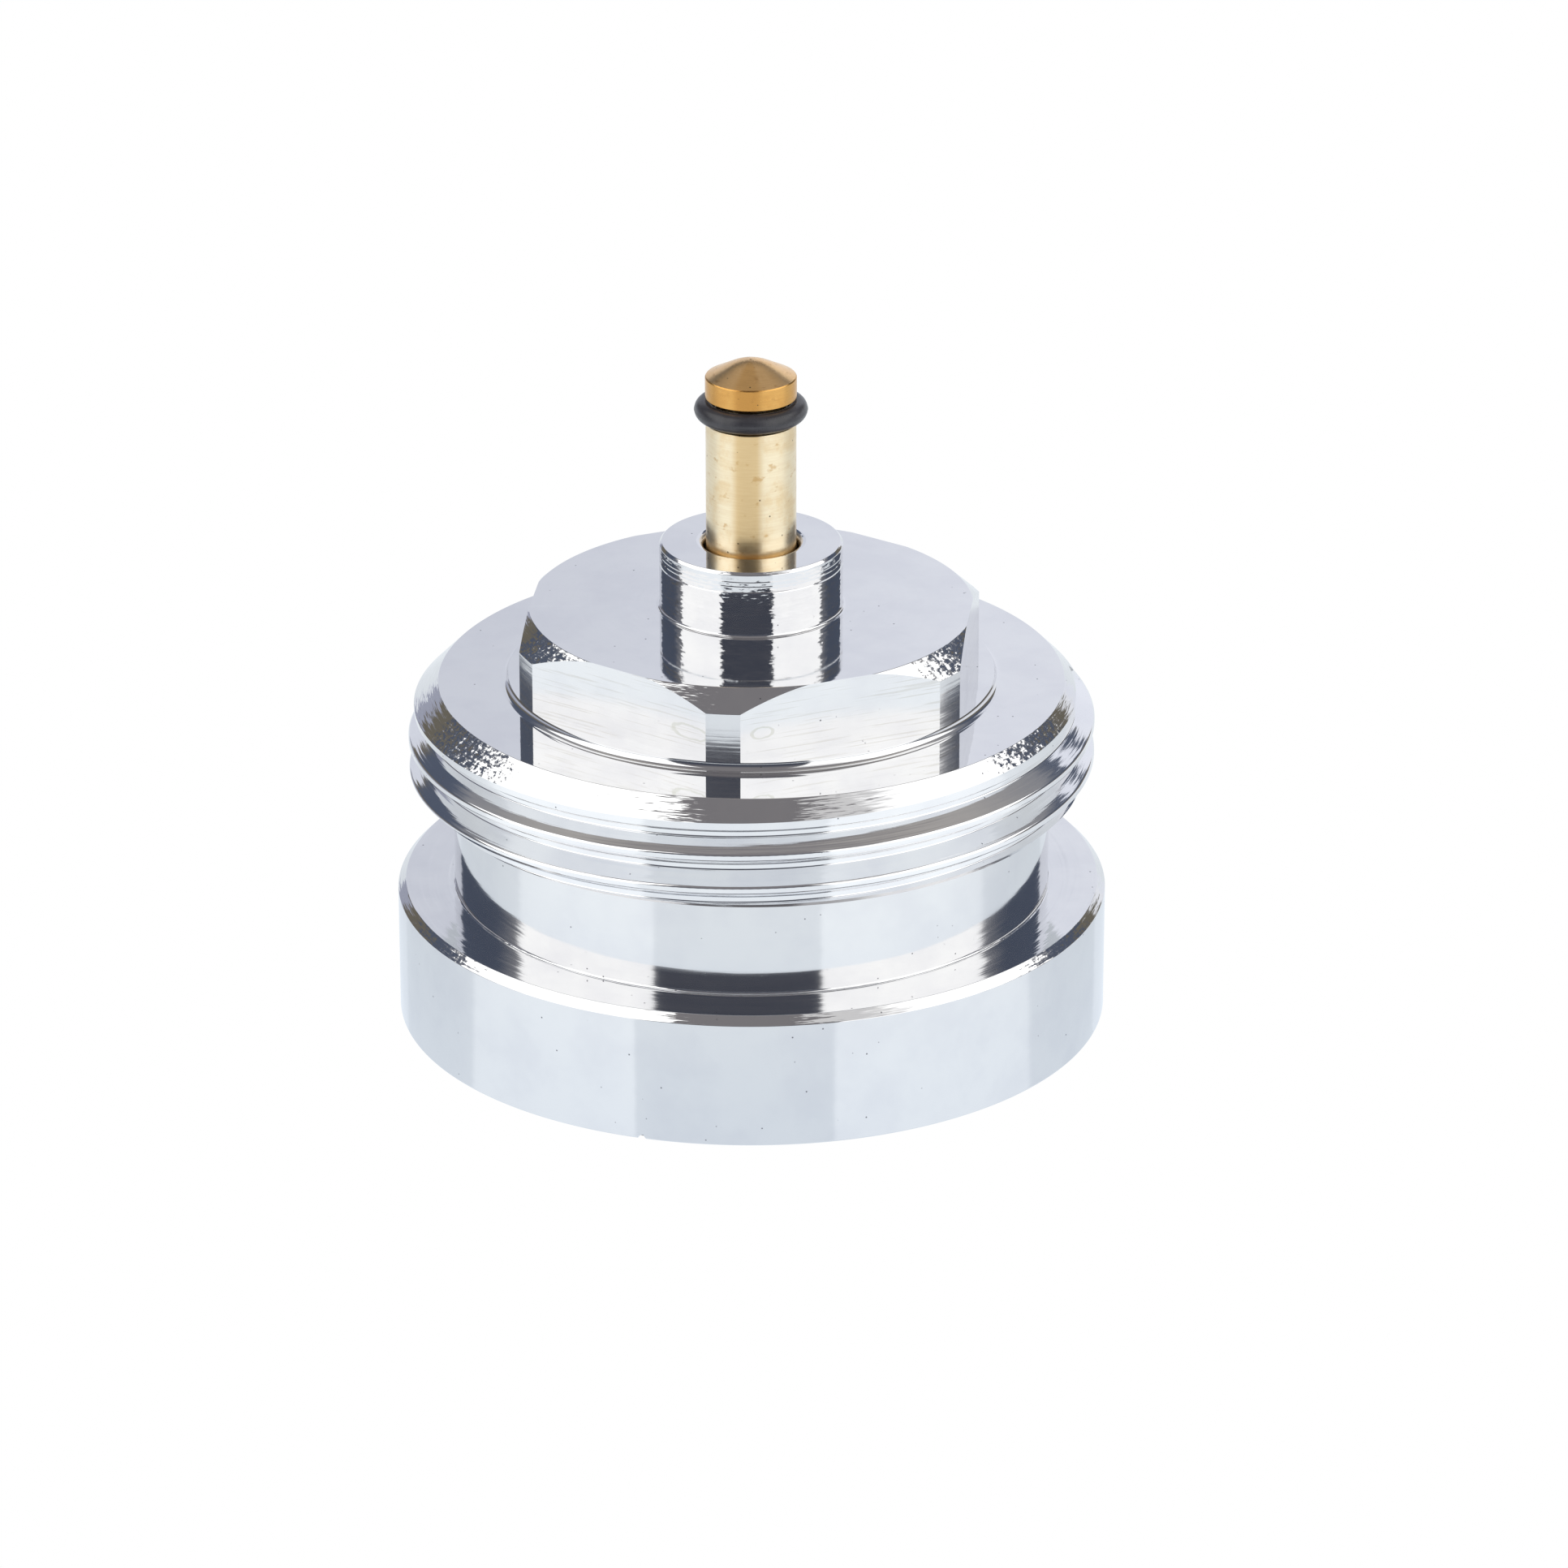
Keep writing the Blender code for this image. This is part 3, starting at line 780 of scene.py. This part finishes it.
def chrome_set():
    """One chrome for each finish that the tools left, in the order of FINISHES. Those of the thread and the
    bore also hold painted light.
    """
    # After the name: marks' spacing, tilt and length, grit's size and tilt, and roughness.
    return [
        chrome("chrome_top", 0.09, 0.02, 0.6, 0.35, 0.006, 0.04),
        chrome("chrome_wall", 0.09, 0.03, 0.6, 0.30, 0.010, 0.06),
        chrome("chrome_collar", 0.10, 0.16, 0.5, 0.10, 0.17, 0.07),
        chrome("chrome_neck", 0.10, 0.05, 0.8, 0.30, 0.015, 0.08),
        chrome("chrome_rim", 0.08, 0.34, 0.5, 0.10, 0.08, 0.20),
        chrome("chrome_chamfer", 0.09, 0.14, 0.25, 0.08, 0.24, 0.06, marks="dented"),
        # The thread's chrome is a tenth brighter than the rest: painted light that lifts the thread's
        # reflections.
        chrome("chrome_thread", 0.08, 0.30, 0.7, 0.12, 0.08, 0.07, (1.1, 1.1, 1.1), "threaded"),
        chrome("chrome_ring_top", 0.12, 0.16, 0.6, 0.20, 0.05, 0.06),
        chrome("chrome_flat", 0.10, 0.06, 0.8, 0.4, 0.02, 0.17, marks="milled"),
        chrome("chrome_bare", 0.12, 0.10, 0.8, 0.2, 0.05, 0.16),
        # In the bore the chrome is tinted brass: a painted reflection of the brass pin.
        chrome("bore_painted_brass_reflection", 0.12, 0.10, 0.8, 0.2, 0.05, 0.25, (1.10, 0.95, 0.74)),
    ]


def brass(name, fresh, tarnish_and_shade, stain, roughness, tilt):
    """Turned brass with the colours of its fresh face, its tarnish, which also paints shade up the front,
    and its stains.
    """
    material, graph = new_graph(name)
    turned = turned_places(graph)
    place = turned[0]
    marks = tool_marks(graph, turned, 0.07, 0.5)
    grit = graph.noise(place, 1 / 0.15, 2.0, 0.6)[1]
    cloud = graph.noise(place, 0.9, 4.0, 0.65)[0]
    streak = tool_marks(graph, turned, 0.35, 0.35)
    # Tarnish lies in clouds. The band up the front, the side that faces the camera, is painted shade in the
    # same browner colour.
    across, along = turned[1]
    painted_front_shade = graph.ramp(graph.math("ABSOLUTE", graph.add(across, 0.08)), 0.18, 0.42, 0.8, 0.0)
    painted_front_shade = graph.times(painted_front_shade, graph.ramp(along, -0.4, 0.0, 1.0, 0.0))
    tarnish = graph.times(graph.ramp(cloud, 0.42, 0.67), 0.45)
    colour = graph.mix(graph.math("MAXIMUM", painted_front_shade, tarnish), fresh, tarnish_and_shade)
    colour = graph.mix(graph.ramp(streak, 0.60, 0.72, 0.0, 0.6), colour, stain)
    colour = graph.mix(graph.ramp(marks, 0.3, 0.7, 0.15, 0.0), colour, stain)
    colour = graph.mix(graph.times(pits(graph, place, 2.2, 0.05, 0.5), 0.8), colour, BRASS_PIT)
    rough = graph.add(roughness, graph.times(cloud, 0.12))
    feed_shader(graph, colour, 1.0, rough, tilted_normal(graph, marks, tilt, grit, 0.05))
    return material


def rubber(name):
    """Black rubber with a fine grain and a grey bloom."""
    material, graph = new_graph(name)
    place = turned_places(graph)[0]
    bloom = graph.noise(place, 1.1, 4.0, 0.65)[0]
    grain = graph.noise(place, 14.0, 3.0, 0.7)
    colour = graph.mix(graph.ramp(bloom, 0.35, 0.75), (0.030, 0.029, 0.034), (0.052, 0.050, 0.058))
    rough = graph.add(0.20, graph.times(grain[0], 0.20))
    feed_shader(graph, colour, 0.0, rough, tilted_normal(graph, 0.5, 0.0, grain[1], 0.10))
    return material


# ---------------------------------------------------------------- pieces
def make_body():
    """The turned body, less the flats, both threads and the nick."""
    maker, arcs = turned_mesh("body", body_corners(), BODY_SEGMENTS, True)
    sleeve, hole = sleeve_around_hexagon()
    grooves = [groove_between_crests(), lead_in_of_thread(), groove_in_socket()]
    cutters = [sleeve, *grooves, nick_in_edge()]
    for cutter in cutters:
        subtract(maker, cutter)
    mesh = baked(maker, "valve_adapter_body")
    for cutter in [*cutters, hole]:
        bpy.data.objects.remove(cutter)
    mesh.materials.clear()
    shade_exactly(mesh, arcs, True, lambda *face: FINISHES.index(finish_of(*face)))
    place_piece("valve_adapter_body", mesh, "adapter", "adapter_body", chrome_set())


def make_turned(name, corners, body, node, materials, closed):
    """A turned piece. Further materials are for what lies above the head's O-ring, and for the cone."""
    maker, arcs = turned_mesh(name, corners, PIN_SEGMENTS, closed)
    mesh = baked(maker, name)
    mesh.materials.clear()
    borders = (head_ring_high.z + PIN_GROOVE_GAP / 2, PIN_RIM)[:len(materials) - 1]
    shade_exactly(mesh, arcs, False, lambda *face: sum(face[3] > border for border in borders))
    place_piece(name, mesh, body, node, materials)


def make_o_ring(name, low, high, body, node, material):
    """A torus with the faint ridge that the two halves of its mould leave."""
    cord = (high.z - low.z) / 2
    centre = high.x - cord
    height = (high.z + low.z) / 2
    seam_half_angle = 3.0
    seam_height = 0.012
    corners = []
    for i in range(CORD_SEGMENTS):
        angle = math.radians(-360 * i / CORD_SEGMENTS)
        heading = math.degrees(angle) % 180
        near_seam = min(heading, 180 - heading) < seam_half_angle
        reach = cord if near_seam else cord - seam_height
        corners.append((centre + reach * math.cos(angle), height + reach * math.sin(angle), 0))
    maker, _ = turned_mesh(name, corners, PIN_SEGMENTS, True)
    mesh = baked(maker, name)
    mesh.materials.clear()
    mesh.shade_smooth()
    place_piece(name, mesh, body, node, [material])


def make_pieces():
    """All five pieces, each in its material."""
    make_body()
    shaft_brass = brass(
        "shaft_brass", (0.90, 0.78, 0.56), (0.76, 0.53, 0.25), (0.58, 0.34, 0.12), 0.25, 0.10
    )
    head_brass = brass(
        "head_brass", (0.72, 0.40, 0.12), (0.58, 0.28, 0.07), (0.38, 0.19, 0.06), 0.20, 0.26
    )
    # The cone's brass is a lighter, yellower copy of the head's: painted light on the cone that faces up.
    cone_brass_painted_light = brass(
        "cone_brass_painted_light", (0.94, 0.62, 0.30), (0.84, 0.50, 0.19), (0.60, 0.34, 0.13), 0.20, 0.16
    )
    foot_brass = brass(
        "foot_brass", (0.70, 0.52, 0.26), (0.60, 0.42, 0.20), (0.40, 0.24, 0.10), 0.28, 0.14
    )
    seal = rubber("seal_rubber")
    pin_materials = [shaft_brass, head_brass, cone_brass_painted_light]
    make_turned("brass_push_pin", pin_corners(), "pin", "push_pin", pin_materials, False)
    make_turned(
        "brass_pressure_foot", foot_corners(), "pin", "pressure_foot", [foot_brass], True
    )
    make_o_ring("rubber_head_ring", head_ring_low, head_ring_high, "stop_ring", "head_o_ring", seal)
    make_o_ring("rubber_guide_ring", guide_ring_low, guide_ring_high, "adapter", "guide_o_ring", seal)


# ---------------------------------------------------------------- studio
WHITE = (1.0, 1.0, 1.0)
SOFTBOX = (1.64, 1.64, 1.62)
BACKDROP_LEFT = (0.75, 0.78, 0.87)
BACKDROP_RIGHT = (0.90, 0.93, 1.02)
ROOM = (0.075, 0.083, 0.11)
GAP_DEEP = (0.095, 0.115, 0.165)
GAP_LIGHT = (0.27, 0.275, 0.30)
GAP_LOW = (0.17, 0.155, 0.125)
TABLE_EDGE_LEFT = (0.40, 0.42, 0.52)
TABLE_EDGE_RIGHT = (0.95, 0.97, 1.03)
CEILING = (0.24, 0.23, 0.24)
CEILING_BEHIND = (0.46, 0.44, 0.42)
# Glow of the table in reflections. Nearer the object it is darker: a painted contact shade.
TABLE_NEAR = (0.94, 1.02, 1.11)
TABLE_FAR = (1.05, 1.11, 1.16)

# Planes through the object that bound the softboxes, by their factors of outward, y and height.
# A direction is on the softbox's side where their sum is positive.
NEAR_EDGE_LEFT = (1.0, 0.78, 0.0)
NEAR_EDGE_RIGHT = (1.0, 0.51, 0.0)
FAR_EDGE = (-0.1522, -0.459, 0.5422)
TOP_EDGE = (1.0, -0.78, -0.556)
TOP_EDGE_IN_FRONT = (1.0, -1.125, -0.691)

CAMERA_ELEVATION = math.radians(22.95)
CAMERA_TARGET = Vector((1.417, 0, 10.115))
CAMERA_DISTANCE = 352.7
CAMERA_LENS = 185.3
CAMERA_SENSOR = 36.0


def softbox(graph, direction, side, near_edge):
    """How far inside its near and far edges a direction is, and 1 where it meets the softbox."""
    x, y, height = direction
    place = graph.join(graph.times(x, side), y, height)
    near = graph.vector("DOT_PRODUCT", place, near_edge)
    far = graph.vector("DOT_PRODUCT", place, FAR_EDGE)
    top = graph.vector("DOT_PRODUCT", place, TOP_EDGE)
    inside = graph.times(graph.ramp(near, -0.015, 0.015), graph.ramp(top, -0.01, 0.02))
    inside = graph.times(inside, graph.ramp(far, -0.01, 0.01))
    # In front of the object the top edge slopes more.
    steeper = graph.ramp(graph.vector("DOT_PRODUCT", place, TOP_EDGE_IN_FRONT), -0.01, 0.02)
    inside = graph.times(inside, graph.math("MAXIMUM", steeper, graph.ramp(y, -0.05, 0.0)))
    return near, far, graph.times(inside, graph.ramp(height, 0.0, 0.05))


def room_colour(graph, direction, by_box):
    """Dark behind the camera. Behind the object lighter beside the softboxes, and olive low down."""
    x, y, height = direction
    gap = graph.mix(graph.ramp(height, 0.28, 0.37), GAP_LOW, GAP_DEEP)
    gap = graph.mix(by_box, gap, GAP_LIGHT)
    table_edge = graph.mix(graph.ramp(x, -0.1, 0.1), TABLE_EDGE_LEFT, TABLE_EDGE_RIGHT)
    gap = graph.mix(graph.ramp(height, 0.12, 0.20), table_edge, gap)
    ceiling = graph.mix(graph.ramp(y, 0.0, 0.35), CEILING, CEILING_BEHIND)
    room = graph.mix(graph.ramp(height, 0.3, 0.9), ROOM, CEILING)
    room = graph.mix(graph.ramp(y, -0.1, 0.1), room, gap)
    return graph.mix(graph.ramp(height, 0.6, 0.9), room, ceiling)


def with_backdrop(graph, direction, room):
    """The room with a pale backdrop, which widens and rises towards the right."""
    x, y, height = direction
    rightward = graph.math("MAXIMUM", x, 0.0)
    widening = graph.times(graph.math("MAXIMUM", graph.add(height, -0.41), 0.0), 2.0)
    widening = graph.times(widening, graph.ramp(x, 0.0, 0.02))
    width = graph.times(y, graph.ramp(x, -0.05, 0.05, 0.51, 0.57))
    side_room = graph.add(width, graph.times(graph.math("ABSOLUTE", x), -1))
    side_room = graph.add(side_room, widening)
    top_room = graph.add(graph.times(y, 0.53), graph.times(height, -1))
    top_room = graph.add(top_room, graph.times(rightward, 0.33))
    backdrop = graph.times(graph.ramp(side_room, 0.0, 0.02), graph.ramp(top_room, 0.0, 0.02))
    backdrop = graph.times(backdrop, graph.ramp(y, 0.0, 0.01))
    backdrop_colour = graph.mix(graph.ramp(x, -0.045, 0.035), BACKDROP_LEFT, BACKDROP_RIGHT)
    return graph.mix(backdrop, room, backdrop_colour)


def make_world():
    """Two tall softboxes, a pale backdrop behind and dark room between them. The camera sees white."""
    world = bpy.data.worlds.new("studio")
    bpy.context.scene.world = world
    world.use_nodes = True
    graph = Graph(world.node_tree)
    background = world.node_tree.nodes["Background"]
    direction = graph.split(graph.node("ShaderNodeTexCoord").outputs["Generated"])
    _, far_left, box_left = softbox(graph, direction, -1, NEAR_EDGE_LEFT)
    near_right, far_right, box_right = softbox(graph, direction, 1, NEAR_EDGE_RIGHT)
    # High up, the right softbox is dimmer towards its near edge.
    high = graph.ramp(direction[2], 0.72, 0.84, 0.0, 0.6)
    dim = graph.times(high, graph.ramp(near_right, 0.25, 0.5, 1.0, 0.0))
    box_right = graph.times(box_right, graph.add(1.0, graph.times(dim, -1)))
    boxes = graph.math("MAXIMUM", box_left, box_right)
    by_box = graph.ramp(graph.math("MINIMUM", far_left, far_right), -0.10, 0.0)
    room = with_backdrop(graph, direction, room_colour(graph, direction, by_box))
    lit = graph.mix(boxes, room, SOFTBOX)
    seen = graph.node("ShaderNodeLightPath").outputs["Is Camera Ray"]
    graph.feed(background.inputs["Color"], graph.mix(seen, lit, WHITE))
    background.inputs["Strength"].default_value = 1.0


def make_floor():
    """A glossy table: plain white where the camera sees it, pale blue and shiny in reflections."""
    width = 4000
    drop = 0.02
    bpy.ops.mesh.primitive_plane_add(size=width * MM, location=(0, 0, -drop * MM))
    floor = bpy.context.active_object
    floor.name = "studio_floor"
    material = bpy.data.materials.new("studio_floor")
    material.use_nodes = True
    tree = material.node_tree
    tree.nodes.clear()
    graph = Graph(tree)
    place = graph.node("ShaderNodeTexCoord").outputs["Object"]
    x, y, _ = graph.split(place)
    # The glow stands in for the lit table. It is painted shade here: darker close to the object and dimmer
    # behind it.
    away = graph.ramp(graph.reach(x, y), RING_RADIUS * MM, 2.6 * RING_RADIUS * MM)
    dimmer_behind = graph.ramp(y, -20 * MM, 20 * MM, 1.0, 0.82)
    glow = graph.node("ShaderNodeEmission", {"Color": graph.mix(away, TABLE_NEAR, TABLE_FAR)})
    graph.feed(glow.inputs["Strength"], dimmer_behind)
    shine = graph.node("ShaderNodeBsdfGlossy", {"Color": (1, 1, 1, 1), "Roughness": 0.05})
    shared = graph.node("ShaderNodeMixShader", {0: 0.1, 1: glow.outputs[0], 2: shine.outputs[0]})
    white = graph.node("ShaderNodeEmission", {"Color": (*WHITE, 1)})
    seen = graph.node("ShaderNodeLightPath").outputs["Is Camera Ray"]
    chosen = graph.node("ShaderNodeMixShader", {0: seen, 1: shared.outputs[0], 2: white.outputs[0]})
    output = graph.node("ShaderNodeOutputMaterial")
    tree.links.new(chosen.outputs[0], output.inputs["Surface"])
    floor.data.materials.append(material)


def make_camera():
    """A long lens a little above the table, turned down to the object."""
    back = Vector((0, -math.cos(CAMERA_ELEVATION), math.sin(CAMERA_ELEVATION)))
    data = bpy.data.cameras.new("camera")
    data.lens = CAMERA_LENS
    data.sensor_width = CAMERA_SENSOR
    data.clip_start = 10 * MM
    camera = bpy.data.objects.new("camera", data)
    bpy.context.scene.collection.objects.link(camera)
    camera.location = (CAMERA_TARGET + back * CAMERA_DISTANCE) * MM
    camera.rotation_euler = (math.pi / 2 - CAMERA_ELEVATION, 0, 0)
    bpy.context.scene.camera = camera


make_pieces()
make_world()
make_floor()
make_camera()
bpy.context.scene.view_settings.view_transform = "Standard"
